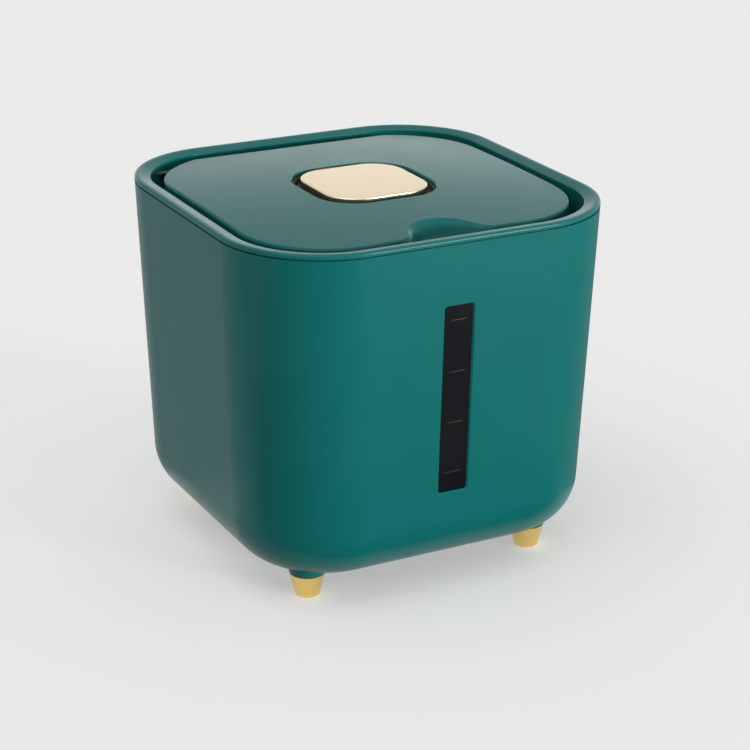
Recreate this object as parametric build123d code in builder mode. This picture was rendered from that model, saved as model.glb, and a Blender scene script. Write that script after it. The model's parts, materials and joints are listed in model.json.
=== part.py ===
from build123d import *
import math
import os

# Rice storage box: a tapered tub on four feet, a rim ring, and a hinged lid with a press button and a latch.
# Millimetres, +Z up, origin on the floor under the middle of the tub, window towards -Y.

# Overall
box_width = 272.0
box_height = 255.0
cut_overrun = 3.0

# Tub
tub_taper = 8.4
tub_wall = 3.0
tub_top_corner = 71.0
tub_bottom_corner = 66.6
tub_bottom_round = 36.0

# Rim ring
rim_crest_drop = 2.0
rim_band_height = 4.0
rim_seam_gap = 1.2
rim_seam_depth = 1.8
rim_outer_round = 1.7
rim_ridge_round = 5.0
rim_lip_round = 0.8
rim_ridge_inset = 3.6
rim_lip_drop = 1.7
rim_wall = 2.5
recess_inset = 11.0
recess_depth = 20.5
channel_roof = 4.0
ledge_thickness = 3.0
ledge_width = 24.0
plug_depth = 14.0
plug_clearance = 0.2
snap_rise = 3.0
snap_height = 2.0
snap_reach = 0.75
snap_clearance = 0.15

# Window in the front wall
window_width = 21.0
window_top_margin = 41.8
window_bottom_margin = 56.8
window_corner = 2.0
window_bevel = 1.0
pane_inset = 1.0
pane_clearance = 0.2
pane_flange = 4.0
pane_flange_thickness = 1.6
seal_thickness = 0.8
seal_margin = 0.6

# Feet
foot_inset = 41.6
foot_height = 16.5
foot_top_width = 24.5
foot_bottom_width = 16.5
foot_edge_round = 1.6
stub_drop = 1.9
stub_rise = 8.0
spigot_width = 14.0
spigot_depth = 6.0
spigot_clearance = 0.15
foot_screw_width = 4.0
foot_screw_bite = 8.5
foot_head_width = 8.0
foot_head_height = 2.6
foot_head_recess = 3.5
screw_clearance = 0.25
drive_width_share = 0.16
drive_length_share = 0.62
drive_depth_share = 0.5

# Lid cover
lid_gap = 6.0
lid_corner = 64.0
lid_wall = 2.4
lid_crown_drop = 0.6
lid_dome_rise = 2.9
lid_edge_round = 1.8
bevel_reach = 10.0
bevel_angle = 16.0
boss_corner_share = 0.43
boss_width = 8.0

# Finger scoop in the lid's front edge
scoop_width = 86.0
scoop_depth = 24.5
scoop_front_gap = 1.5
scoop_level_shares = (0, 0.35, 0.62, 0.78, 0.88, 1)
scoop_size_shares = (0.80, 0.90, 0.97, 1.06, 1.25, 1.60)

# Lid base and seal
base_thickness = 2.4
base_clearance = 0.2
gasket_height = 4.2
gasket_width = 5.0
gasket_gap = 0.3
gasket_clearance = 0.2
collar_inset = 15.1
collar_wall = 2.4
collar_drop = 3.2
lid_screw_width = 3.0
lid_screw_bite = 6.5
lid_head_width = 5.6
lid_head_height = 2.0

# Hinge
hinge_setback = 9.0
hinge_rise = 12.0
hinge_pin_width = 4.0
hinge_pin_bite = 4.0
hinge_pin_overhang = 2.0
hinge_run_clearance = 0.05
hinge_block_margin = 12.5
hinge_block_length = 10.0
hinge_block_wall = 1.0
hinge_block_depth = 7.0
hinge_boss_width = 10.0
skirt_hole_clearance = 0.5

# Press button
button_width = 76.0
button_corner = 23.0
button_wall = 2.0
button_edge_round = 0.8
button_travel = 3.0
button_clearance = 0.3
well_gap = 6.2
well_bevel = 1.3
well_wall = 2.4
carrier_flange = 2.2
carrier_plate = 1.8
carrier_clearance = 0.3
carrier_guide_height = 3.6
carrier_guide_wall = 1.6
column_width = 15.0
socket_width = 10.6
socket_depth = 4.6

# Latch slide and its wedge drive
latch_lift = 0.6
latch_thickness = 2.5
latch_gap = 0.3
nose_margin = 7.0
nose_width = 10.0
nose_reach = 2.2
nose_bevel = 1.6
bar_depth = 10.0
bar_gap = 3.0
tongue_width = 22.0
tongue_end = 9.0
wedge_width = 12.0
wedge_tip_front = 28.0
wedge_tip_depth = 6.0
wedge_tip_lift = 0.8
wedge_gap = 0.2
window_gap = 0.5
pocket_floor = 0.5
pocket_wall = 2.2
rail_width = 2.0
rail_lift = 0.4
guide_rib_width = 2.0
guide_depth = 10.0
guide_margin = 0.5
guide_thickness = 2.0
guide_post_gap = 2.5
guide_post_width = 7.0
guide_screw_width = 2.5
guide_screw_bite = 3.0
guide_head_width = 4.6
guide_head_height = 1.6

# Springs
button_spring_wire = 1.0
button_spring_width = 9.6
button_spring_turns = 5
spring_seat_gap = 0.05
latch_spring_wire = 0.7
latch_spring_width = 4.4
latch_spring_turns = 8
latch_spring_spacing = 60.0
latch_spring_length = 18.0
lug_width = 8.0
lug_thickness = 2.4
lug_height = 5.0
peg_length = 4.0
peg_clearance = 0.3

# Heights and half sizes that follow from the values above
box_half = box_width / 2
rim_crest_z = box_height - rim_crest_drop
tub_top_z = rim_crest_z - rim_band_height
tub_ground_gap = foot_height + stub_drop
tub_bottom_half = box_half - tub_taper
recess_half = box_half - recess_inset
recess_corner = tub_top_corner - recess_inset
ledge_z = rim_crest_z - recess_depth
mouth_half = recess_half - ledge_width
mouth_corner = recess_corner - ledge_width
plug_bottom_z = tub_top_z - plug_depth
snap_z = plug_bottom_z + snap_rise
window_top_z = tub_top_z - window_top_margin
window_bottom_z = tub_ground_gap + window_bottom_margin
window_height = window_top_z - window_bottom_z
window_middle_z = (window_top_z + window_bottom_z) / 2
foot_half = tub_bottom_half - foot_inset

lid_half = recess_half - lid_gap
lid_crown_z = box_height - lid_crown_drop
lid_bottom_z = ledge_z + gasket_gap + gasket_height
dome_radius = (lid_half ** 2 + lid_dome_rise ** 2) / (2 * lid_dome_rise)
dome_centre_z = lid_crown_z - dome_radius
base_top_z = lid_bottom_z + base_thickness
scoop_floor_z = base_top_z + lid_wall
collar_half = lid_half - collar_inset
boss_half = lid_half - lid_corner + boss_corner_share * lid_corner
hinge_y = lid_half - hinge_setback
hinge_z = ledge_z + hinge_rise
hinge_block_outer = lid_half - lid_corner + hinge_block_margin
hinge_block_inner = hinge_block_outer - hinge_block_length
hinge_pin_inner = hinge_block_inner - hinge_pin_overhang
hinge_corner_y = hinge_y - (recess_half - recess_corner)
hinge_wall_x = recess_half - recess_corner + math.sqrt(recess_corner ** 2 - hinge_corner_y ** 2)
hinge_pin_outer = hinge_wall_x + hinge_pin_bite

latch_bottom_z = base_top_z + latch_lift
latch_top_z = latch_bottom_z + latch_thickness
nose_spacing = scoop_width + 2 * nose_margin
bar_front_y = scoop_depth + bar_gap - lid_half
bar_rear_y = bar_front_y + bar_depth

cap_half = button_width / 2
well_half = cap_half + well_gap
well_corner = button_corner + well_gap
flange_half = well_half + carrier_flange
flange_corner = well_corner + carrier_flange
carrier_bottom_z = latch_top_z + latch_gap + button_travel
cap_bottom_z = carrier_bottom_z + carrier_plate
tube_bottom_z = cap_bottom_z + carrier_clearance
socket_top_z = carrier_bottom_z + socket_depth

nose_tip_y = -(recess_half + nose_reach)
wedge_bottom_z = base_top_z + wedge_tip_lift
wedge_tip_rear_y = wedge_tip_depth - wedge_tip_front
guide_seat_z = latch_top_z + window_gap
guide_middle_y = (bar_rear_y - flange_half) / 2
guide_front_y = guide_middle_y - guide_depth / 2
guide_rear_y = guide_middle_y + guide_depth / 2
spring_wall_y = bar_rear_y + latch_spring_length
latch_spring_z = base_top_z + latch_spring_width / 2 + latch_gap

foot_places = {
    "front_left": (-1, -1),
    "front_right": (1, -1),
    "rear_left": (-1, 1),
    "rear_right": (1, 1),
}
sides = {"left": -1, "right": 1}
standing = (Align.CENTER, Align.CENTER, Align.MIN)


def tub_share(z):
    """How far up the tapered wall a height lies: 0 at the underside, 1 at the top."""
    return (z - tub_ground_gap) / (tub_top_z - tub_ground_gap)


def tub_half(z):
    """Half the tub's outer width at a height."""
    return tub_bottom_half + tub_share(z) * tub_taper


def tub_corner(z):
    """The tub's outer plan corner radius at a height."""
    return tub_bottom_corner + tub_share(z) * (tub_top_corner - tub_bottom_corner)


def rounded_square(half, corner):
    """Square with round corners, centred, by its half size."""
    return RectangleRounded(2 * half, 2 * half, corner)


def tub_form(inset):
    """The tub's tapered form, drawn in by a wall thickness; inset 0 is the outside."""
    bottom_z = tub_ground_gap + inset
    with BuildPart() as form:
        for z in (bottom_z, tub_top_z):
            with BuildSketch(Plane.XY.offset(z)):
                rounded_square(tub_half(z) - inset, tub_corner(z) - inset)
        loft(ruled=True)
        fillet(form.faces().sort_by(Axis.Z)[0].edges(), radius=tub_bottom_round - inset)
    return form.part


def block(x_from, x_to, y_from, y_to, z_from, z_to, mode=Mode.ADD):
    """Box between two corners."""
    with Locations(((x_from + x_to) / 2, (y_from + y_to) / 2, z_from)):
        Box(x_to - x_from, y_to - y_from, z_to - z_from, align=standing, mode=mode)


def post(x, y, z_from, z_to, width, mode=Mode.ADD):
    """Upright cylinder between two heights."""
    with Locations((x, y, z_from)):
        Cylinder(width / 2, z_to - z_from, align=standing, mode=mode)


def prism(half, corner, z_from, z_to, mode=Mode.ADD):
    """Upright prism on a rounded square."""
    with BuildSketch(Plane.XY.offset(z_from)) as outline:
        rounded_square(half, corner)
    extrude(outline.sketch, amount=z_to - z_from, mode=mode)


def cross_bar(x_from, x_to, y, z, width, mode=Mode.ADD):
    """Cylinder along X between two places."""
    with Locations(Plane(origin=(x_from, y, z), z_dir=(1, 0, 0))):
        Cylinder(width / 2, x_to - x_from, align=standing, mode=mode)


def pan_screw(x, y, head_z, head_width, head_height, shank_width, shank_top_z):
    """Screw driven from below: head, shank and a cross recess in the head."""
    post(x, y, head_z, head_z + head_height, head_width)
    post(x, y, head_z + head_height, shank_top_z, shank_width)
    long_side = head_width * drive_length_share
    short_side = head_width * drive_width_share
    with Locations((x, y, head_z)):
        depth = head_height * drive_depth_share
        Box(long_side, short_side, depth, align=standing, mode=Mode.SUBTRACT)
        Box(short_side, long_side, depth, align=standing, mode=Mode.SUBTRACT)


def coil_spring(plane, length, width, wire, turns):
    """Compression spring along a plane's normal, one half-circle arc for each half turn."""
    radius = (width - wire) / 2
    rise = (length - wire - 2 * spring_seat_gap) / (2 * turns)
    start = wire / 2 + spring_seat_gap
    reach = math.hypot(radius, rise / 2)
    with BuildPart() as spring:
        with BuildLine(plane) as turns_line:
            for half_turn in range(2 * turns):
                side = 1 if half_turn % 2 == 0 else -1
                low = start + half_turn * rise
                ThreePointArc(
                    (side * radius, 0, low),
                    (0, side * reach, low + rise / 2),
                    (-side * radius, 0, low + rise),
                )
        path = turns_line.wires()[0]
        with BuildSketch(Plane(origin=path @ 0, z_dir=path % 0)):
            Circle(wire / 2)
        sweep(path=path)
    print("least gap between turns", round(2 * rise - wire, 3))
    return spring.part


def scoop_form(grow):
    """Bell-shaped bite in the lid's front edge, flared at its lip; grow gives the form round its wall."""
    front_y = -lid_half - scoop_front_gap
    floor_z = scoop_floor_z - grow
    with BuildPart() as form:
        for level_share, size_share in zip(scoop_level_shares, scoop_size_shares):
            half = scoop_width / 2 * size_share + grow
            depth = scoop_depth * size_share + scoop_front_gap + grow
            z = floor_z + level_share * (lid_crown_z - floor_z)
            with BuildSketch(Plane.XY.offset(z)):
                with BuildLine():
                    rise_in = TangentArc((-half, front_y), (-half / 2, front_y + depth / 2), tangent=(1, 0))
                    crest_in = TangentArc(rise_in @ 1, (0, front_y + depth), tangent=rise_in % 1)
                    crest_out = TangentArc(crest_in @ 1, (half / 2, front_y + depth / 2), tangent=(1, 0))
                    rise_out = TangentArc(crest_out @ 1, (half, front_y), tangent=crest_out % 1)
                    outer_y = front_y - cut_overrun
                    Polyline(rise_out @ 1, (half, outer_y), (-half, outer_y), rise_in @ 0)
                make_face()
        loft()
    return form.part


def save(name, part):
    """Label one piece and write it."""
    part.label = name
    export_step(part, "parts/" + name + ".step")


os.makedirs("parts", exist_ok=True)

# Window plane: lies in the front wall's outer face at the window's middle, facing outwards
wall_lean = math.atan(tub_taper / (tub_top_z - tub_ground_gap))
window_plane = Plane(
    origin=(0, -tub_half(window_middle_z), window_middle_z),
    x_dir=(1, 0, 0),
    z_dir=(0, -math.cos(wall_lean), -math.sin(wall_lean)),
)
inner_wall_plane = window_plane.offset(-tub_wall)

# Tub: tapered shell with four conical foot stubs, the window slot and a groove for the rim's snap bead
foot_taper = (foot_top_width - foot_bottom_width) / 2 / foot_height
stub_top_radius = foot_top_width / 2 + foot_taper * stub_rise
spigot_bottom_z = foot_height - spigot_depth
with BuildPart() as tub:
    add(tub_form(0))
    with Locations(*[(sx * foot_half, sy * foot_half, foot_height) for sx, sy in foot_places.values()]):
        Cone(
            foot_top_width / 2, stub_top_radius, stub_rise,
            align=standing,
        )
    add(tub_form(tub_wall), mode=Mode.SUBTRACT)
    for sx, sy in foot_places.values():
        x, y = sx * foot_half, sy * foot_half
        post(x, y, spigot_bottom_z, foot_height, spigot_width)
        post(x, y, spigot_bottom_z, spigot_bottom_z + foot_screw_bite, foot_screw_width, Mode.SUBTRACT)
    groove_half = tub_half(plug_bottom_z) - tub_wall - plug_clearance + snap_reach + snap_clearance
    groove_corner = tub_corner(plug_bottom_z) - tub_wall - plug_clearance + snap_reach + snap_clearance
    groove_top_z = snap_z + snap_height + snap_clearance
    prism(groove_half, groove_corner, snap_z - snap_clearance, groove_top_z, Mode.SUBTRACT)
    with BuildSketch(window_plane):
        RectangleRounded(window_width, window_height, window_corner)
    extrude(amount=-(tub_wall + cut_overrun), mode=Mode.SUBTRACT)
    with BuildSketch(window_plane):
        RectangleRounded(
            window_width + 2 * window_bevel, window_height + 2 * window_bevel, window_corner + window_bevel
        )
    extrude(amount=-window_bevel, taper=45, mode=Mode.SUBTRACT)
save("tub", tub.part)

# Rim ring: plug that snaps into the tub, rounded crest, lid recess with its ledge, hinge bosses, latch slots
plug_half = tub_half(plug_bottom_z) - tub_wall - plug_clearance
plug_corner = tub_corner(plug_bottom_z) - tub_wall - plug_clearance
ridge_half = box_half - rim_ridge_inset
ridge_corner = tub_top_corner - rim_ridge_inset
rim_lip_z = rim_crest_z - rim_lip_drop
channel_top_z = rim_lip_z - channel_roof
channel_half = recess_half + rim_wall
channel_corner = recess_corner + rim_wall
with BuildPart() as hinge_bosses:
    for side in sides.values():
        ends = sorted((side * hinge_block_outer, side * box_half))
        cross_bar(*ends, hinge_y, hinge_z, hinge_boss_width)
    with BuildSketch(Plane.XY.offset(plug_bottom_z)):
        rounded_square(plug_half, plug_corner)
    extrude(amount=plug_depth, mode=Mode.INTERSECT)

with BuildPart() as recess:
    prism(recess_half, recess_corner, ledge_z, rim_lip_z)
    with BuildSketch(Plane.XY.offset(rim_lip_z)):
        rounded_square(recess_half, recess_corner)
    with BuildSketch(Plane.XY.offset(rim_crest_z)):
        rounded_square(ridge_half, ridge_corner)
    loft(ruled=True)
    fillet(recess.edges().filter_by_position(Axis.Z, rim_lip_z, rim_lip_z), radius=rim_lip_round)

with BuildPart() as rim_ring:
    prism(plug_half, plug_corner, plug_bottom_z, tub_top_z)
    prism(plug_half + snap_reach, plug_corner + snap_reach, snap_z, snap_z + snap_height)
    prism(plug_half - rim_wall, plug_corner - rim_wall, plug_bottom_z, channel_top_z, Mode.SUBTRACT)
    prism(channel_half, channel_corner, ledge_z - ledge_thickness, channel_top_z)
    add(hinge_bosses.part)
    prism(box_half - rim_seam_depth, tub_top_corner - rim_seam_depth, tub_top_z, tub_top_z + rim_seam_gap)
    prism(box_half, tub_top_corner, tub_top_z + rim_seam_gap, rim_crest_z)
    fillet(rim_ring.faces().sort_by(Axis.Z)[-1].edges(), radius=rim_outer_round)
    add(recess.part, mode=Mode.SUBTRACT)
    fillet(rim_ring.faces().sort_by(Axis.Z)[-1].inner_wires().edges(), radius=rim_ridge_round)
    prism(mouth_half, mouth_corner, ledge_z - ledge_thickness, ledge_z, Mode.SUBTRACT)
    for side in sides.values():
        ends = sorted((side * hinge_block_outer, side * box_half))
        cross_bar(*ends, hinge_y, hinge_z, hinge_pin_width + 2 * hinge_run_clearance, Mode.SUBTRACT)
        x = side * nose_spacing / 2
        slot_half = nose_width / 2 + latch_gap
        block(
            x - slot_half, x + slot_half, -channel_half - nose_reach, -recess_half + cut_overrun,
            latch_bottom_z - latch_gap, latch_top_z + latch_gap, Mode.SUBTRACT,
        )
save("rim_ring", rim_ring.part)

# Window pane: smoked plate that fills the slot, with a flange behind the wall
pane_width = window_width - 2 * pane_clearance
pane_height = window_height - 2 * pane_clearance
flange_width = window_width + 2 * pane_flange
flange_height = window_height + 2 * pane_flange
with BuildPart() as window_pane:
    with BuildSketch(inner_wall_plane.offset(-seal_thickness)):
        RectangleRounded(pane_width, pane_height, window_corner - pane_clearance)
    extrude(amount=tub_wall + seal_thickness - pane_inset)
    with BuildSketch(inner_wall_plane.offset(-seal_thickness)):
        RectangleRounded(flange_width, flange_height, window_corner)
    extrude(amount=-pane_flange_thickness)
save("window_pane", window_pane.part)

# Window seal: flat frame between the pane's flange and the inside of the wall
with BuildPart() as window_seal:
    with BuildSketch(inner_wall_plane):
        RectangleRounded(flange_width, flange_height, window_corner)
        RectangleRounded(
            window_width + 2 * seal_margin, window_height + 2 * seal_margin, window_corner, mode=Mode.SUBTRACT
        )
    extrude(amount=-seal_thickness)
save("window_seal", window_seal.part)

# Feet: conical caps on the stubs' spigots, each counterbored from below for its screw
foot_web_z = foot_head_recess + foot_head_height
for name, (sx, sy) in foot_places.items():
    x, y = sx * foot_half, sy * foot_half
    with BuildPart() as foot:
        with Locations((x, y, 0)):
            Cone(
                foot_bottom_width / 2, foot_top_width / 2, foot_height,
                align=standing,
            )
        fillet(foot.edges().sort_by(Axis.Z)[0], radius=foot_edge_round)
        post(x, y, spigot_bottom_z, foot_height, spigot_width + 2 * spigot_clearance, Mode.SUBTRACT)
        with Locations(Plane(origin=(x, y, 0), z_dir=(0, 0, -1))):
            CounterBoreHole(
                foot_screw_width / 2 + screw_clearance, foot_head_width / 2 + screw_clearance, foot_web_z
            )
    save("foot_" + name, foot.part)

with BuildPart() as foot_screws:
    for sx, sy in foot_places.values():
        pan_screw(
            sx * foot_half, sy * foot_half, foot_head_recess, foot_head_width, foot_head_height,
            foot_screw_width, spigot_bottom_z + foot_screw_bite,
        )
save("foot_screws", foot_screws.part)

# Lid cover: domed top with a skirt, button well, screw bosses, finger scoop and a bevel along the back edge
boss_places = [(sx * boss_half, sy * boss_half) for sx, sy in foot_places.values()]
with BuildPart() as lid_form:
    prism(lid_half, lid_corner, lid_bottom_z, lid_crown_z + cut_overrun)
    with Locations((0, 0, dome_centre_z)):
        Sphere(dome_radius, mode=Mode.INTERSECT)
    fillet(lid_form.faces().sort_by(Axis.Z)[-1].edges(), radius=lid_edge_round)

with BuildPart() as lid_cavity:
    prism(lid_half - lid_wall, lid_corner - lid_wall, lid_bottom_z, lid_crown_z)
    with Locations((0, 0, dome_centre_z)):
        Sphere(dome_radius - lid_wall, mode=Mode.INTERSECT)
    add(scoop_form(lid_wall), mode=Mode.SUBTRACT)
    prism(well_half + well_wall, well_corner + well_wall, tube_bottom_z, lid_crown_z, Mode.SUBTRACT)
    for x, y in boss_places:
        post(x, y, base_top_z, lid_crown_z, boss_width, Mode.SUBTRACT)

crease_y = lid_half - bevel_reach
crease_z = dome_centre_z + math.sqrt(dome_radius ** 2 - crease_y ** 2)
bevel_fall = math.tan(math.radians(bevel_angle))
bevel_start_y = crease_y - (lid_crown_z - crease_z) / bevel_fall
bevel_end_y = lid_half + cut_overrun
with BuildPart() as lid_shell:
    add(lid_form.part)
    add(lid_cavity.part, mode=Mode.SUBTRACT)
    add(scoop_form(0), mode=Mode.SUBTRACT)
    prism(well_half, well_corner, lid_bottom_z, box_height, Mode.SUBTRACT)
    with BuildSketch(Plane(origin=(0, 0, lid_crown_z), z_dir=(0, 0, -1))):
        rounded_square(well_half + well_bevel, well_corner + well_bevel)
    extrude(amount=well_bevel, taper=45, mode=Mode.SUBTRACT)
    with BuildSketch(Plane.YZ):
        with BuildLine():
            Polyline(
                (bevel_start_y, lid_crown_z),
                (bevel_end_y, lid_crown_z - (bevel_end_y - bevel_start_y) * bevel_fall),
                (bevel_end_y, lid_crown_z),
                close=True,
            )
        make_face()
    extrude(amount=lid_half, both=True, mode=Mode.SUBTRACT)
    for side in sides.values():
        x = side * nose_spacing / 2
        slot_half = nose_width / 2 + latch_gap
        block(
            x - slot_half, x + slot_half, -lid_half - cut_overrun, bar_front_y,
            latch_bottom_z - latch_gap, latch_top_z + latch_gap, Mode.SUBTRACT,
        )
        ends = sorted((side * hinge_block_outer, side * lid_half))
        cross_bar(*ends, hinge_y, hinge_z, hinge_pin_width + 2 * skirt_hole_clearance, Mode.SUBTRACT)
    for x, y in boss_places:
        post(x, y, base_top_z, base_top_z + lid_screw_bite, lid_screw_width, Mode.SUBTRACT)
save("lid_shell", lid_shell.part)

# Lid base: closing plate with the seal's collar, hinge blocks, latch rails, guide posts and spring walls
base_half = lid_half - lid_wall - base_clearance
base_corner = lid_corner - lid_wall - base_clearance
collar_corner = lid_corner - (lid_half - collar_half)
collar_bottom_z = lid_bottom_z - collar_drop
wedge_half = wedge_width / 2
pocket_front_y = -wedge_tip_front - window_gap
pocket_rear_y = wedge_tip_rear_y + button_travel + window_gap
pocket_floor_z = wedge_bottom_z - button_travel - pocket_floor
pocket_half = wedge_half + window_gap
tongue_half = tongue_width / 2
rail_inner = pocket_half + pocket_wall / 2
rib_inner = tongue_half + latch_gap
guide_post_half = tongue_half + guide_post_gap + guide_post_width / 2
lug_half = lug_width / 2
peg_width = latch_spring_width - 2 * latch_spring_wire - 2 * peg_clearance
spring_post_width = button_spring_width - 2 * button_spring_wire - 2 * peg_clearance
with BuildPart() as lid_base:
    prism(base_half, base_corner, lid_bottom_z, base_top_z)
    prism(collar_half, collar_corner, collar_bottom_z, lid_bottom_z)
    prism(collar_half - collar_wall, collar_corner - collar_wall, collar_bottom_z, lid_bottom_z, Mode.SUBTRACT)
    block(
        -pocket_half - pocket_wall, pocket_half + pocket_wall, pocket_front_y - pocket_wall,
        pocket_rear_y + pocket_wall, pocket_floor_z - pocket_wall, lid_bottom_z,
    )
    block(-pocket_half, pocket_half, pocket_front_y, pocket_rear_y, pocket_floor_z, base_top_z, Mode.SUBTRACT)
    post(0, 0, base_top_z, base_top_z + peg_length, spring_post_width)
    for side in sides.values():
        rail_ends = sorted((side * rail_inner, side * (rail_inner + rail_width)))
        block(*rail_ends, bar_rear_y, -tongue_end, base_top_z, base_top_z + rail_lift)
        rib_ends = sorted((side * rib_inner, side * (rib_inner + guide_rib_width)))
        block(*rib_ends, guide_front_y, guide_rear_y, base_top_z, guide_seat_z)
        post(side * guide_post_half, guide_middle_y, base_top_z, guide_seat_z, guide_post_width)
        post(
            side * guide_post_half, guide_middle_y, guide_seat_z - guide_screw_bite, guide_seat_z,
            guide_screw_width, Mode.SUBTRACT,
        )
        x = side * latch_spring_spacing / 2
        block(
            x - lug_half, x + lug_half, spring_wall_y, spring_wall_y + lug_thickness,
            base_top_z, latch_bottom_z + lug_height,
        )
        with Locations(Plane(origin=(x, spring_wall_y, latch_spring_z), z_dir=(0, -1, 0))):
            Cylinder(peg_width / 2, peg_length, align=standing)
        block_ends = sorted((side * hinge_block_inner, side * hinge_block_outer))
        block(
            *block_ends, hinge_y - hinge_block_depth / 2, hinge_y + hinge_block_depth / 2,
            base_top_z, hinge_z + hinge_pin_width / 2 + hinge_block_wall,
        )
        cross_bar(*block_ends, hinge_y, hinge_z, hinge_pin_width, Mode.SUBTRACT)
    for x, y in boss_places:
        post(x, y, lid_bottom_z, base_top_z, lid_screw_width + 2 * screw_clearance, Mode.SUBTRACT)
save("lid_base", lid_base.part)

# Lid seal: soft ring round the collar, just clear of the recess ledge when the lid is shut
gasket_inner = collar_half + gasket_clearance
gasket_corner = collar_corner + gasket_clearance
gasket_bottom_z = lid_bottom_z - gasket_height
with BuildPart() as lid_gasket:
    prism(gasket_inner + gasket_width, gasket_corner + gasket_width, gasket_bottom_z, lid_bottom_z)
    prism(gasket_inner, gasket_corner, gasket_bottom_z, lid_bottom_z, Mode.SUBTRACT)
save("lid_gasket", lid_gasket.part)

with BuildPart() as lid_screws:
    for x, y in boss_places:
        pan_screw(
            x, y, lid_bottom_z - lid_head_height, lid_head_width, lid_head_height,
            lid_screw_width, base_top_z + lid_screw_bite,
        )
save("lid_screws", lid_screws.part)

# Hinge pins: pressed into the lid's hinge blocks, turning in the rim's bosses
for name, side in sides.items():
    with BuildPart() as hinge_pin:
        ends = sorted((side * hinge_pin_inner, side * hinge_pin_outer))
        cross_bar(*ends, hinge_y, hinge_z, hinge_pin_width)
    save("hinge_pin_" + name, hinge_pin.part)

# Press button: cap on a carrier that slides in the well and whose wedge drives the latch
with BuildPart() as button_cap:
    prism(cap_half, button_corner, cap_bottom_z, box_height)
    fillet(button_cap.faces().sort_by(Axis.Z)[-1].edges(), radius=button_edge_round)
    cap_roof_z = box_height - button_wall
    prism(cap_half - button_wall, button_corner - button_wall, cap_bottom_z, cap_roof_z, Mode.SUBTRACT)
save("button_cap", button_cap.part)

carrier_inner_half = cap_half - button_wall - button_clearance
carrier_inner_corner = button_corner - button_wall - button_clearance
carrier_guide_half = well_half - button_clearance
carrier_guide_corner = well_corner - button_clearance
carrier_guide_top_z = cap_bottom_z + carrier_guide_height
with BuildPart() as button_carrier:
    prism(carrier_guide_half, carrier_guide_corner, cap_bottom_z, carrier_guide_top_z)
    prism(
        carrier_guide_half - carrier_guide_wall, carrier_guide_corner - carrier_guide_wall,
        cap_bottom_z, carrier_guide_top_z, Mode.SUBTRACT,
    )
    prism(flange_half, flange_corner, carrier_bottom_z, cap_bottom_z)
    prism(carrier_inner_half, carrier_inner_corner, cap_bottom_z, cap_bottom_z + carrier_plate)
    post(0, 0, cap_bottom_z, cap_roof_z, column_width)
    post(0, 0, carrier_bottom_z, socket_top_z, socket_width, Mode.SUBTRACT)
    wedge_height = carrier_bottom_z - wedge_bottom_z
    with BuildSketch(Plane.YZ):
        with BuildLine():
            Polyline(
                (-wedge_tip_front, carrier_bottom_z),
                (-wedge_tip_front, wedge_bottom_z),
                (wedge_tip_rear_y, wedge_bottom_z),
                (wedge_tip_rear_y + wedge_height, carrier_bottom_z),
                close=True,
            )
        make_face()
    extrude(amount=wedge_half, both=True)
save("button_carrier", button_carrier.part)

# Latch slide: cross bar with two noses, and a tongue whose sloped window rides on the wedge
tongue_window_front_y = -wedge_tip_front - button_travel - window_gap
tongue_window_half = wedge_half + window_gap
slope_low_y = wedge_tip_rear_y + wedge_gap + (latch_bottom_z - wedge_bottom_z)
slope_high_y = slope_low_y + latch_thickness
bar_half = (nose_spacing + nose_width) / 2
with BuildPart() as latch_slide:
    block(-bar_half, bar_half, bar_front_y, bar_rear_y, latch_bottom_z, latch_top_z)
    block(-tongue_half, tongue_half, bar_rear_y, -tongue_end, latch_bottom_z, latch_top_z)
    with BuildSketch(Plane.YZ):
        with BuildLine():
            Polyline(
                (tongue_window_front_y, latch_bottom_z),
                (slope_low_y, latch_bottom_z),
                (slope_high_y, latch_top_z),
                (tongue_window_front_y, latch_top_z),
                close=True,
            )
        make_face()
    extrude(amount=tongue_window_half, both=True, mode=Mode.SUBTRACT)
    for side in sides.values():
        x = side * nose_spacing / 2
        with BuildSketch(Plane.YZ.offset(x - nose_width / 2)):
            with BuildLine():
                Polyline(
                    (bar_front_y, latch_bottom_z),
                    (nose_tip_y + nose_bevel, latch_bottom_z),
                    (nose_tip_y, latch_bottom_z + nose_bevel),
                    (nose_tip_y, latch_top_z),
                    (bar_front_y, latch_top_z),
                    close=True,
                )
            make_face()
        extrude(amount=nose_width)
        x = side * latch_spring_spacing / 2
        block(
            x - lug_half, x + lug_half, bar_rear_y - lug_thickness, bar_rear_y,
            latch_top_z, latch_bottom_z + lug_height,
        )
        with Locations(Plane(origin=(x, bar_rear_y, latch_spring_z), z_dir=(0, 1, 0))):
            Cylinder(peg_width / 2, peg_length, align=standing)
save("latch_slide", latch_slide.part)

# Latch guide: bridge over the tongue, screwed to two posts of the lid base
guide_half = guide_post_half + guide_post_width / 2 + guide_margin
with BuildPart() as latch_guide:
    block(
        -guide_half, guide_half, guide_front_y, guide_rear_y,
        guide_seat_z, guide_seat_z + guide_thickness,
    )
    fillet(latch_guide.edges().filter_by(Axis.Z), radius=guide_rib_width)
    for side in sides.values():
        post(
            side * guide_post_half, guide_middle_y, guide_seat_z, guide_seat_z + guide_thickness,
            guide_screw_width + 2 * screw_clearance, Mode.SUBTRACT,
        )
save("latch_guide", latch_guide.part)

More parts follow.
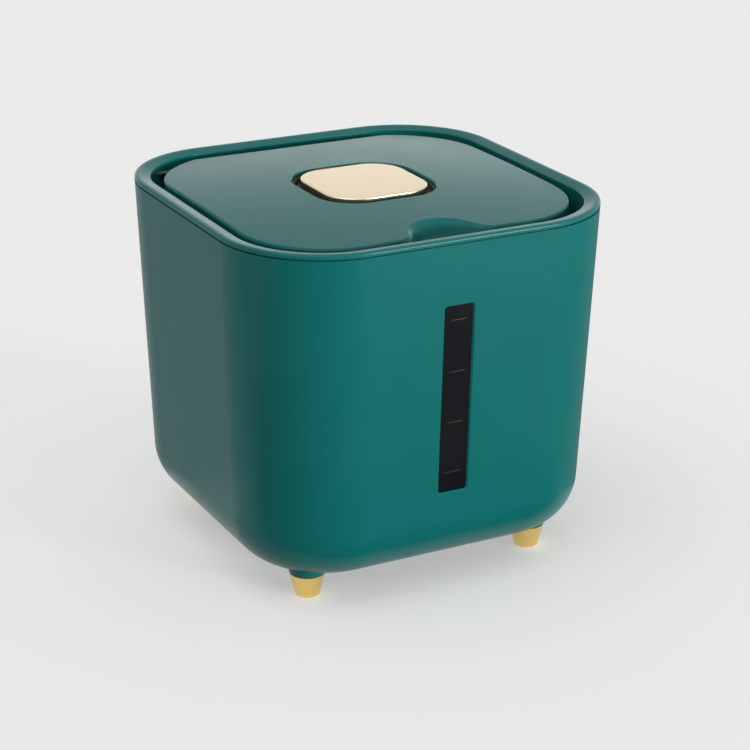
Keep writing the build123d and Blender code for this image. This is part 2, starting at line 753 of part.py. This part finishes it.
with BuildPart() as latch_guide_screws:
    head_z = guide_seat_z + guide_thickness
    for side in sides.values():
        x = side * guide_post_half
        post(x, guide_middle_y, guide_seat_z - guide_screw_bite, head_z, guide_screw_width)
        post(x, guide_middle_y, head_z, head_z + guide_head_height, guide_head_width)
        slot_depth = guide_head_height * drive_depth_share
        slot_half = guide_head_width * drive_length_share / 2
        groove_half = guide_head_width * drive_width_share / 2
        slot_top_z = head_z + guide_head_height
        for half_x, half_y in ((slot_half, groove_half), (groove_half, slot_half)):
            block(
                x - half_x, x + half_x, guide_middle_y - half_y, guide_middle_y + half_y,
                slot_top_z - slot_depth, slot_top_z, Mode.SUBTRACT,
            )
save("latch_guide_screws", latch_guide_screws.part)

# Springs: one under the button, two behind the latch bar
button_spring_plane = Plane.XY.offset(base_top_z)
button_spring = coil_spring(
    button_spring_plane, socket_top_z - base_top_z, button_spring_width, button_spring_wire, button_spring_turns
)
save("button_spring", button_spring)
for name, side in sides.items():
    latch_spring_plane = Plane(
        origin=(side * latch_spring_spacing / 2, bar_rear_y, latch_spring_z), x_dir=(1, 0, 0), z_dir=(0, 1, 0)
    )
    latch_spring = coil_spring(
        latch_spring_plane, latch_spring_length, latch_spring_width, latch_spring_wire, latch_spring_turns
    )
    save("latch_spring_" + name, latch_spring)
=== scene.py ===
import json
import math

import bmesh
import bpy
from mathutils import Matrix, Vector


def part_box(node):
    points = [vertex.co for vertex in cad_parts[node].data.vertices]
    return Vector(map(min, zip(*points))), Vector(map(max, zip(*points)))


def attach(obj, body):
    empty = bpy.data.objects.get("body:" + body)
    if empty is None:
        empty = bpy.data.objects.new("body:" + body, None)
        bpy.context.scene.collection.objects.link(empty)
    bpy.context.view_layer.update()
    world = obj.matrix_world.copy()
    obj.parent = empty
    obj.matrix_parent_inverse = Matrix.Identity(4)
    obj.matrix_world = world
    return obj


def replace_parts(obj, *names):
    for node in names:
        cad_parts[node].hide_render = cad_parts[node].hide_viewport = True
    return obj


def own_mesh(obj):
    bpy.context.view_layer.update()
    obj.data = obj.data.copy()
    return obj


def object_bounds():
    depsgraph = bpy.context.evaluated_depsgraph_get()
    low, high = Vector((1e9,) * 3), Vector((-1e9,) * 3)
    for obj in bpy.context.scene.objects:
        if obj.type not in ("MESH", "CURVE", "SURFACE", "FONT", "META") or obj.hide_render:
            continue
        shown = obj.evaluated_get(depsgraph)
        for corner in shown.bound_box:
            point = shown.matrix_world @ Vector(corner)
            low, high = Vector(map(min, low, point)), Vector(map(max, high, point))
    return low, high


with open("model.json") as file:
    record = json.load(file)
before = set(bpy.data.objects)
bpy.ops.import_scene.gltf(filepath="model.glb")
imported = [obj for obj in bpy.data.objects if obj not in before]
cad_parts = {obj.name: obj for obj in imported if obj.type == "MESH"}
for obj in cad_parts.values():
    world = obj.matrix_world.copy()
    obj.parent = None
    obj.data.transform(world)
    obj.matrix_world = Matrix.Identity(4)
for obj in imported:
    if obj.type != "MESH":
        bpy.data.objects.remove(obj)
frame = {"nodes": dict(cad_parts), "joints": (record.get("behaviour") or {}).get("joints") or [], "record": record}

# Rice storage box: finishes, seals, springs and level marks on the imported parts, and the studio round them.
# Metres, +Z up, floor at 0, window towards -Y.

cad_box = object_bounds()
nodes = frame["nodes"]
record = frame["record"]

# Tub wall and its window
tub_taper = 0.0084
tub_wall_height = 0.2306
tub_wall = 0.003
wall_lean = math.atan(tub_taper / tub_wall_height)
window_width = 0.021
window_height = 0.132
window_corner = 0.002
pane_inset = 0.001

# Level marks moulded on the pane
mark_length = 0.0125
mark_height = 0.0015
mark_proud = 0.0002
mark_spacing = 0.036
mark_low_z = 0.089
mark_count = 4
mark_end_share = 0.45
mark_end_steps = 5
mark_edge_share = 0.8
mark_edge_steps = 3
round_profile = 0.5

# Seals; the lid seal's profile is in shares of its width and height, from its inner lower corner
lid_seal_corner = 0.0491
lid_seal_width = 0.005
window_seal_margin = 0.0006
window_seal_thickness = 0.0008
corner_steps = 16
merge_distance = 0.00001
bead_turns = (-1.57, -1.05, -0.52, 0.0, 0.52, 1.05, 1.57)
lid_seal_profile = (
    (0, 1), (1, 1), (1, 0.66), (0.80, 0.58), (0.86, 0.30), (1, 0.06), (0.94, 0), (0.80, 0.06),
    (0.58, 0.40), (0.44, 0.52), (0.34, 0.40), (0.16, 0.14), (0.06, 0.14), (0, 0.30),
)

# Springs: facets round the wire, steps in a turn, wire thickness and turns
spring_facets = 12
steps_per_turn = 32
button_wire = 0.001
button_turns = 5
latch_wire = 0.0007
latch_turns = 8

# Camera, fitted to the photograph
camera_azimuth = math.radians(-27.8493)
camera_elevation = math.radians(21.2769)
camera_distance = 1.54631
camera_target = Vector((0.00766, -0.00405, 0.11283))
camera_roll = math.radians(0.413)
camera_lens = 105.256

# Light, as the share of a surface's own colour that each source gives back when it faces it
backdrop_level = 0.815
ambient_level = 0.53
overhead_level = 0.20
key_level = 0.98
overhead_spread = math.radians(50)
key_spread = math.radians(15)
overhead_from = Vector((-0.35, -0.10, 1.0))
key_from = Vector((0.52, -0.85, 0.05))
floor_size = 12.0
sheet_cells = 4
floor_shown = 0.95
floor_bounce = 0.50
floor_glow_level = 0.97
floor_glow_share = 0.4

# Painted reflections: glowing or dark cards that only the box's gloss shows, lighting nothing and casting no
# shadow; azimuth 0 is in front, tilt 0 lies flat
behind = camera_azimuth + math.pi
upright = math.pi / 2
flat = 0.0
painted_reflection_cards = {
    # painted reflection of a bright band behind the box, on the lid and the rim's crests
    "painted_rear_reflection": dict(
        level=1.9, azimuth=behind, distance=1.5, width=2.4, depth=0.32, middle_z=0.43, tilt=upright,
    ),
    # painted reflection: a darker sky overhead in the lid's gloss
    "painted_dark_ceiling_reflection": dict(
        level=0.57, azimuth=behind, distance=1.35, width=4.0, depth=2.3, middle_z=0.9, tilt=flat,
    ),
    # painted reflections: floor darker than it is, in the walls' gloss
    "painted_grey_floor_reflection": dict(
        level=0.55, azimuth=math.radians(-150), distance=0.62, width=1.2, depth=0.9, middle_z=0.003,
        tilt=flat,
    ),
    "painted_dark_right_reflection": dict(
        level=0.24, azimuth=math.radians(100), distance=0.62, width=1.1, depth=0.9, middle_z=0.003,
        tilt=flat,
    ),
    # painted shadow: a black strip standing for the floor's shade at the box's base, in the gloss of the tub's
    # bottom round
    "painted_floor_shadow_reflection": dict(
        level=0.0, azimuth=0.0, distance=0.206, width=0.60, depth=0.138, middle_z=0.0025, tilt=flat,
    ),
    # painted reflection: darker floor in front, in the front wall's gloss
    "painted_dark_floor_reflection": dict(
        level=0.17, azimuth=math.radians(-30), distance=0.72, width=1.0, depth=1.1, middle_z=0.002,
        tilt=flat,
    ),
}


class Signal:
    """A shader socket that takes part in sums: each operator adds a Math node."""

    def __init__(self, shader, socket):
        self.shader = shader
        self.socket = socket

    def maths(self, operation, first, second):
        return self.shader.node("ShaderNodeMath", {"operation": operation}, {0: first, 1: second})

    def __add__(self, other):
        return self.maths("ADD", self, other)

    def __radd__(self, other):
        return self.maths("ADD", other, self)

    def __rsub__(self, other):
        return self.maths("SUBTRACT", other, self)

    def __mul__(self, other):
        return self.maths("MULTIPLY", self, other)

    def __rmul__(self, other):
        return self.maths("MULTIPLY", other, self)


class Shader:
    """The node tree of a material or of the world, filled by one method."""

    def __init__(self, owner):
        owner.use_nodes = True
        self.tree = owner.node_tree
        self.tree.nodes.clear()

    def node(self, kind, settings=None, sockets=None, output=0):
        made = self.tree.nodes.new(kind)
        for key, value in (settings or {}).items():
            setattr(made, key, value)
        for key, value in (sockets or {}).items():
            if isinstance(value, Signal):
                self.tree.links.new(value.socket, made.inputs[key])
            else:
                made.inputs[key].default_value = value
        return Signal(self, made.outputs[output]) if made.outputs else None

    def noise(self, scale, detail, roughness=0.5, stretch=(1.0, 1.0, 1.0)):
        """Noise on the piece's own coordinates, from 0 to 1; scale is in features a metre."""
        places = self.node("ShaderNodeTexCoord", output="Object")
        turned = self.node("ShaderNodeMapping", sockets={"Vector": places, "Scale": stretch})
        values = {"Vector": turned, "Scale": scale, "Detail": detail, "Roughness": roughness}
        return self.node("ShaderNodeTexNoise", sockets=values, output="Fac")

    def blend(self, share, first, second):
        """Colour between two, by a share."""
        values = {"Factor": share, 6: (*first, 1.0), 7: (*second, 1.0)}
        return self.node("ShaderNodeMix", {"data_type": "RGBA"}, values, output=2)

    def bump(self, height, depth, strength):
        values = {"Height": height, "Distance": depth, "Strength": strength}
        return self.node("ShaderNodeBump", sockets=values, output="Normal")

    def surface(self, **sockets):
        """One Principled surface; names use _ for a space."""
        values = {key.replace("_", " "): value for key, value in sockets.items()}
        body = self.node("ShaderNodeBsdfPrincipled", sockets=values, output="BSDF")
        self.node("ShaderNodeOutputMaterial", sockets={"Surface": body})


def finish(name):
    """New material and its shader."""
    material = bpy.data.materials.new(name)
    return material, Shader(material)


def green_shell_finish():
    """Deep green satin plastic: fine moulded grain, slow changes of gloss, a little colour drift."""
    material, shader = finish("green_shell")
    grain = shader.noise(scale=1400.0, detail=2.0)
    drift = shader.noise(scale=9.0, detail=3.0)
    haze = shader.noise(scale=42.0, detail=4.0, roughness=0.6)
    shader.surface(
        Base_Color=shader.blend(drift, (0.0022, 0.128, 0.121), (0.0034, 0.142, 0.133)),
        Roughness=0.24 + 0.07 * haze + 0.03 * grain,
        Specular_IOR_Level=0.18,
        Normal=shader.bump(grain, depth=0.00002, strength=0.35),
    )
    return material


def green_inner_finish():
    """Inner face of the lid: the same green, matt, with a coarser eroded grain."""
    material, shader = finish("green_inner")
    grain = shader.noise(scale=900.0, detail=3.0)
    drift = shader.noise(scale=14.0, detail=3.0)
    shader.surface(
        Base_Color=shader.blend(drift, (0.0026, 0.106, 0.100), (0.0038, 0.120, 0.113)),
        Roughness=0.42 + 0.10 * grain,
        Specular_IOR_Level=0.35,
        Normal=shader.bump(grain, depth=0.00004, strength=0.5),
    )
    return material


def grey_inner_finish():
    """Unpainted dark grey plastic of the parts inside the lid."""
    material, shader = finish("grey_inner")
    grain = shader.noise(scale=1100.0, detail=3.0)
    shader.surface(
        Base_Color=shader.blend(grain, (0.030, 0.034, 0.034), (0.040, 0.044, 0.044)),
        Roughness=0.45 + 0.12 * grain,
        Normal=shader.bump(grain, depth=0.00003, strength=0.4),
    )
    return material


def smoked_pane_finish(name, dark, pale, satin):
    """Smoked clear plastic, polished; its near-black colour is the smoke's tint plus painted shade of the unlit
    tub behind it.
    """
    material, shader = finish(name)
    drift = shader.noise(scale=30.0, detail=2.0)
    haze = shader.noise(scale=160.0, detail=3.0)
    shader.surface(
        Base_Color=shader.blend(drift, dark, pale),
        Roughness=satin + 0.06 * haze,
        Specular_IOR_Level=0.22,
        Normal=shader.bump(drift, depth=0.0004, strength=0.15),
    )
    return material


def silicone_finish():
    """Soft milky silicone."""
    material, shader = finish("silicone")
    dust = shader.noise(scale=700.0, detail=4.0, roughness=0.65)
    shader.surface(
        Base_Color=shader.blend(dust, (0.50, 0.52, 0.51), (0.60, 0.62, 0.61)),
        Roughness=0.50 + 0.15 * dust,
        Specular_IOR_Level=0.4,
        Subsurface_Weight=0.2,
        Subsurface_Scale=0.002,
        Normal=shader.bump(dust, depth=0.00003, strength=0.3),
    )
    return material


def gold_finish():
    """Polished gold plating with faint polishing marks."""
    material, shader = finish("gold")
    polish = shader.noise(scale=500.0, detail=3.0, stretch=(1.0, 1.0, 6.0))
    tarnish = shader.noise(scale=60.0, detail=3.0)
    shader.surface(
        Base_Color=shader.blend(tarnish, (0.86, 0.62, 0.20), (0.93, 0.69, 0.25)),
        Metallic=1.0,
        Roughness=0.14 + 0.08 * tarnish + 0.05 * polish,
        Normal=shader.bump(polish, depth=0.00001, strength=0.3),
    )
    return material


def champagne_finish():
    """Pale gold plating of the button, satin, brushed very lightly across."""
    material, shader = finish("champagne")
    brush = shader.noise(scale=300.0, detail=4.0, stretch=(0.12, 5.0, 1.0))
    cloud = shader.noise(scale=25.0, detail=2.0)
    shader.surface(
        Base_Color=shader.blend(cloud, (0.97, 0.795, 0.555), (1.0, 0.84, 0.60)),
        Metallic=1.0,
        Roughness=0.20 + 0.05 * cloud + 0.06 * brush,
        Normal=shader.bump(brush, depth=0.000008, strength=0.25),
    )
    return material


def steel_finish():
    """Blackened steel of screws, pins and springs."""
    material, shader = finish("steel")
    spangle = shader.noise(scale=800.0, detail=3.0)
    shader.surface(
        Base_Color=shader.blend(spangle, (0.060, 0.060, 0.063), (0.105, 0.105, 0.108)),
        Metallic=1.0,
        Roughness=0.28 + 0.16 * spangle,
    )
    return material


def piece(name, mesh, body, material):
    """Finished bmesh as an object at the origin that rides on a body."""
    bmesh.ops.recalc_face_normals(mesh, faces=mesh.faces)
    data = bpy.data.meshes.new(name)
    mesh.to_mesh(data)
    mesh.free()
    for face in data.polygons:
        face.use_smooth = True
    data.materials.append(material)
    made = bpy.data.objects.new(name, data)
    bpy.context.scene.collection.objects.link(made)
    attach(made, body)
    return made


def edges_of(geometry):
    return [item for item in geometry if isinstance(item, bmesh.types.BMEdge)]


def verts_of(geometry):
    return [item for item in geometry if isinstance(item, bmesh.types.BMVert)]


def profile_ring(half_x, half_y, corner, profile):
    """Closed strip round a rounded rectangle; the profile's points are (outwards, up) from its line."""
    mesh = bmesh.new()
    run_x = half_x - corner
    run_y = half_y - corner
    points = [mesh.verts.new((half_x + out, run_y, up)) for out, up in profile]
    section = [mesh.edges.new((points[index - 1], points[index])) for index in range(len(points))]
    centres = ((1, 1), (-1, 1), (-1, -1), (1, -1))
    runs = ((-2 * run_x, 0), (0, -2 * run_y), (2 * run_x, 0), (0, 2 * run_y))
    for (side_x, side_y), (along_x, along_y) in zip(centres, runs):
        turned = bmesh.ops.spin(
            mesh, geom=section, cent=(side_x * run_x, side_y * run_y, 0), axis=(0, 0, 1),
            angle=math.pi / 2, steps=corner_steps, use_merge=False,
        )
        straight = bmesh.ops.extrude_edge_only(mesh, edges=edges_of(turned["geom_last"]))["geom"]
        bmesh.ops.translate(mesh, verts=verts_of(straight), vec=(along_x, along_y, 0))
        section = edges_of(straight)
    bmesh.ops.remove_doubles(mesh, verts=mesh.verts, dist=merge_distance)
    return mesh


def lid_seal(material):
    """Lip seal round the lid's collar: a strip with a flared lip that meets the recess ledge."""
    low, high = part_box("lid_gasket")
    height = high.z - low.z
    scaled = [(out * lid_seal_width, low.z + up * height) for out, up in lid_seal_profile]
    mesh = profile_ring(high.x - lid_seal_width, high.y - lid_seal_width, lid_seal_corner, scaled)
    made = piece("lid_lip_seal", mesh, "lid", material)
    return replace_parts(made, "lid_gasket")


def tub_half(z):
    """Half the tub's outer width at a height."""
    return cad_box[1].x - (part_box("tub")[1].z - z) / tub_wall_height * tub_taper


def wall_place(z, depth):
    """Matrix at the middle of the front wall, at a depth in from its outer face.

    X runs along the wall, Y up it and Z outwards.
    """
    on_face = Matrix.Translation((0, -tub_half(z), z)) @ Matrix.Rotation(math.pi / 2 + wall_lean, 4, "X")
    return on_face @ Matrix.Translation((0, 0, -depth))


def window_seal(material):
    """Soft frame between the pane's flange and the wall, with a round bead along both edges."""
    low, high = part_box("window_seal")
    half_x = window_width / 2 + window_seal_margin
    half_y = window_height / 2 + window_seal_margin
    width = high.x - half_x
    bead = window_seal_thickness / 2
    edge = [(math.cos(turn), math.sin(turn)) for turn in bead_turns]
    outer = [(width - bead + bead * across, bead * up - bead) for across, up in edge]
    inner = [(bead - bead * across, bead * -up - bead) for across, up in edge]
    mesh = profile_ring(half_x, half_y, window_corner, outer + inner)
    bmesh.ops.transform(mesh, matrix=wall_place((low.z + high.z) / 2, tub_wall), verts=mesh.verts)
    made = piece("window_soft_seal", mesh, "tub", material)
    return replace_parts(made, "window_seal")


def level_mark(index, material):
    """Low moulded bar on the pane, with round ends and a soft top edge."""
    mesh = bmesh.new()
    bmesh.ops.create_cube(mesh, size=1.0)
    bmesh.ops.scale(mesh, vec=(mark_length, mark_height, 2 * mark_proud), verts=mesh.verts)
    corners = [edge for edge in mesh.edges if abs(edge.verts[0].co.z - edge.verts[1].co.z) > mark_proud]
    bmesh.ops.bevel(
        mesh, geom=corners, offset=mark_height * mark_end_share, offset_type="OFFSET", affect="EDGES",
        segments=mark_end_steps, profile=round_profile, material=-1,
    )
    top = [edge for edge in mesh.edges if min(vert.co.z for vert in edge.verts) > mark_proud / 2]
    bmesh.ops.bevel(
        mesh, geom=top, offset=mark_proud * mark_edge_share, offset_type="OFFSET", affect="EDGES",
        segments=mark_edge_steps, profile=round_profile, material=-1,
    )
    place = wall_place(mark_low_z + index * mark_spacing, pane_inset)
    bmesh.ops.transform(mesh, matrix=place, verts=mesh.verts)
    return piece("level_mark_%d" % (index + 1), mesh, "tub", material)


def travel_of(joint_name):
    joint = next(joint for joint in frame["joints"] if joint["name"] == joint_name)
    return joint["range_m"][1]


def coil(name, node, joint, wire, turns, along_y, material):
    """Wound spring in place of its plain one, at its full length."""
    low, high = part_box(node)
    middle = (low + high) / 2
    width = high.x - low.x
    length = high.y - low.y if along_y else high.z - low.z
    radius = (width - wire) / 2
    mesh = bmesh.new()
    ring = Matrix.Translation((radius, 0, wire / 2)) @ Matrix.Rotation(math.pi / 2, 4, "X")
    bmesh.ops.create_circle(mesh, segments=spring_facets, radius=wire / 2, matrix=ring)
    steps = turns * steps_per_turn
    bmesh.ops.spin(
        mesh, geom=mesh.edges[:], cent=(0, 0, 0), axis=(0, 0, 1), dvec=(0, 0, (length - wire) / steps),
        angle=2 * math.pi * turns, steps=steps, use_merge=False,
    )
    bmesh.ops.holes_fill(mesh, edges=[edge for edge in mesh.edges if edge.is_boundary])
    if along_y:
        place = Matrix.Translation((middle.x, low.y, middle.z)) @ Matrix.Rotation(-math.pi / 2, 4, "X")
    else:
        place = Matrix.Translation((middle.x, middle.y, low.z))
    bmesh.ops.transform(mesh, matrix=place, verts=mesh.verts)
    made = piece(name, mesh, "lid", material)
    1 - travel_of(joint) / length
    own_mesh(made)
    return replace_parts(made, node)


def seen_rays(shader):
    """1 on rays from the camera, from gloss and through clear pieces, 0 on the light that bounces."""
    hidden = 1.0
    for kind in ("Is Camera Ray", "Is Glossy Ray", "Is Transmission Ray"):
        hidden = hidden * (1.0 - shader.node("ShaderNodeLightPath", output=kind))
    return 1.0 - hidden


def grey(level):
    return (level, level, level, 1.0)


def stage_sheet(name, place, material):
    """Flat square of the studio, one metre a side before it is placed."""
    mesh = bmesh.new()
    bmesh.ops.create_grid(mesh, x_segments=sheet_cells, y_segments=sheet_cells, size=0.5, matrix=place)
    data = bpy.data.meshes.new(name)
    mesh.to_mesh(data)
    mesh.free()
    data.materials.append(material)
    sheet = bpy.data.objects.new(name, data)
    bpy.context.scene.collection.objects.link(sheet)
    return sheet


def studio_floor():
    """Pale seamless floor that keeps the box's shadow."""
    material, shader = finish("studio_floor")
    bounce = shader.node("ShaderNodeBsdfDiffuse", sockets={"Color": grey(floor_bounce)})
    lit = shader.node("ShaderNodeBsdfDiffuse", sockets={"Color": grey(floor_shown)})
    glow = shader.node("ShaderNodeEmission", sockets={"Color": grey(floor_glow_level)})
    shown = shader.node("ShaderNodeMixShader", sockets={"Fac": floor_glow_share, 1: lit, 2: glow})
    surface = shader.node("ShaderNodeMixShader", sockets={"Fac": seen_rays(shader), 1: bounce, 2: shown})
    shader.node("ShaderNodeOutputMaterial", sockets={"Surface": surface})
    stage_sheet("studio_floor", Matrix.Diagonal((floor_size, floor_size, 1, 1)), material)


def gloss_card(name, level, azimuth, distance, width, depth, middle_z, tilt):
    """Painted reflection: a card of the studio that only the box's gloss shows; it lights nothing and casts no
    shadow.
    """
    material, shader = finish(name)
    glow = shader.node("ShaderNodeEmission", sockets={"Color": grey(level)})
    shader.node("ShaderNodeOutputMaterial", sockets={"Surface": glow})
    middle = Vector((math.sin(azimuth) * distance, -math.cos(azimuth) * distance, middle_z))
    turned = Matrix.Rotation(azimuth, 4, "Z") @ Matrix.Rotation(tilt, 4, "X")
    place = Matrix.Translation(middle) @ turned @ Matrix.Diagonal((width, depth, 1, 1))
    card = stage_sheet(name, place, material)
    card.visible_camera = False
    card.visible_diffuse = False
    card.visible_shadow = False


def studio_world():
    world = bpy.data.worlds.new("studio")
    bpy.context.scene.world = world
    shader = Shader(world)
    ambient = shader.node("ShaderNodeBackground", sockets={"Color": grey(ambient_level)})
    backdrop = shader.node("ShaderNodeBackground", sockets={"Color": grey(backdrop_level)})
    mixed = shader.node("ShaderNodeMixShader", sockets={"Fac": seen_rays(shader), 1: ambient, 2: backdrop})
    shader.node("ShaderNodeOutputWorld", sockets={"Surface": mixed})


def studio_lamp(name, level, spread, source):
    """Wide soft lamp; a surface that faces it gives back its own colour times the level."""
    data = bpy.data.lights.new(name, "SUN")
    data.energy = level * math.pi
    data.angle = spread
    lamp = bpy.data.objects.new(name, data)
    lamp.rotation_euler = source.to_track_quat("Z", "Y").to_euler()
    bpy.context.scene.collection.objects.link(lamp)


def photo_camera():
    """Camera at the photograph's viewing angle."""
    level = math.cos(camera_elevation)
    back = Vector((
        math.sin(camera_azimuth) * level,
        -math.cos(camera_azimuth) * level,
        math.sin(camera_elevation),
    ))
    data = bpy.data.cameras.new("camera")
    data.lens = camera_lens
    camera = bpy.data.objects.new("camera", data)
    facing = (-back).to_track_quat("-Z", "Y").to_matrix().to_4x4()
    turned = facing @ Matrix.Rotation(camera_roll, 4, "Z")
    camera.matrix_world = Matrix.Translation(camera_target + back * camera_distance) @ turned
    bpy.context.scene.collection.objects.link(camera)
    bpy.context.scene.camera = camera


finishes = {
    "green_shell": green_shell_finish(),
    "green_inner": green_inner_finish(),
    "grey_inner": grey_inner_finish(),
    # smoked pane: near-black colours are the smoke's tint plus painted shade of the unlit tub behind it
    "smoked_pane": smoked_pane_finish(
        "smoked_pane", dark=(0.0062, 0.0076, 0.0088), pale=(0.0082, 0.0096, 0.0108), satin=0.10,
    ),
    "silicone": silicone_finish(),
    "gold": gold_finish(),
    "champagne": champagne_finish(),
    "steel": steel_finish(),
}
for subpart in record["subparts"]:
    data = nodes[subpart["node"]].data
    data.materials.clear()
    data.materials.append(finishes[subpart["material_slot"]])

lid_seal(finishes["silicone"])
window_seal(finishes["silicone"])
# level marks share the pane's near-black colours: smoke tint plus painted shade of the unlit tub behind them
mark_finish = smoked_pane_finish(
    "level_mark", dark=(0.0062, 0.0076, 0.0080), pale=(0.0078, 0.0092, 0.0098), satin=0.34,
)
for index in range(mark_count):
    level_mark(index, mark_finish)
coil(
    "button_coil", "button_spring", "button_press", button_wire, button_turns,
    along_y=False, material=finishes["steel"],
)
for side in ("left", "right"):
    node = "latch_spring_" + side
    coil(
        "latch_coil_" + side, node, "latch_travel", latch_wire, latch_turns,
        along_y=True, material=finishes["steel"],
    )

bpy.context.scene.view_settings.view_transform = "Standard"
studio_floor()
for card_name, values in painted_reflection_cards.items():
    gloss_card(card_name, **values)
studio_world()
studio_lamp("overhead_lamp", overhead_level, overhead_spread, overhead_from)
studio_lamp("key_lamp", key_level, key_spread, key_from)
photo_camera()
